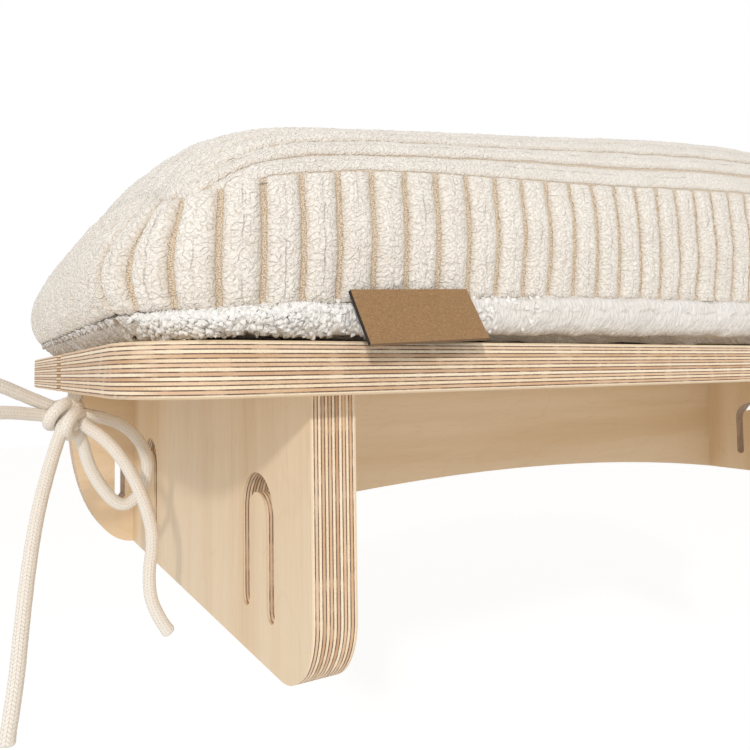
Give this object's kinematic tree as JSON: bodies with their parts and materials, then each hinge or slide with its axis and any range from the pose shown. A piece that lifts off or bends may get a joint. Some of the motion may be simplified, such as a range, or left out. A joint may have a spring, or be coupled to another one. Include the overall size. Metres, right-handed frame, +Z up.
{
  "type": "cat wall shelf",
  "caption": "Plywood wall shelf for a cat: a rounded board on two brackets and an arched wall plate, with a boxed plush cushion tied on by cord bows.",
  "frame": {"origin": "on the wall face, midway between the two wall slots, at their mid height", "axes": "+X along the shelf to the right, +Y into the wall, +Z up"},
  "size_m": [0.9319, 0.3378, 0.2764],
  "materials": {
    "plywood": "clear matt lacquer on birch plywood, stripes of plies on its edges",
    "screw_steel": "zinc plated",
    "foam": "soft open foam",
    "plush": "wide-wale plush pile, off-white",
    "zip_fabric": "woven tape with a nylon coil",
    "zip_metal": "satin nickel",
    "label_board": "bare washed kraft board, matt",
    "tie_cord": "braided cotton cord, natural"
  },
  "bodies": {
    "shelf": {"shelf_board": "plywood", "bracket_left": "plywood", "bracket_right": "plywood", "wall_plate": "plywood", "board_screws": "screw_steel", "plate_screws": "screw_steel", "cushion_foam": "foam", "cover_bottom_panel": "plush", "cover_side_band": "plush", "cover_top_panel": "plush", "zip_tape": "zip_fabric", "cover_label": "label_board", "tie_left_knot": "tie_cord", "tie_left_cord_inner": "tie_cord", "tie_left_cord_outer": "tie_cord", "tie_left_loop_inner": "tie_cord", "tie_left_loop_outer": "tie_cord", "tie_right_knot": "tie_cord", "tie_right_cord_inner": "tie_cord", "tie_right_cord_outer": "tie_cord", "tie_right_loop_inner": "tie_cord", "tie_right_loop_outer": "tie_cord"},
    "slider": {"zip_slider": "zip_metal"},
    "pull": {"zip_pull": "zip_metal"}
  },
  "joints": [
    {"name": "zip_slide", "type": "slide", "parent": "shelf", "child": "slider", "axis": [-1, 0, 0], "range_m": [0, 0.522]},
    {"name": "pull_swing", "type": "hinge", "parent": "slider", "child": "pull", "pos_m": [0.262, -0.00472, 0.123], "axis": [1, 0, 0], "range_deg": [-12, 8]}
  ]
}
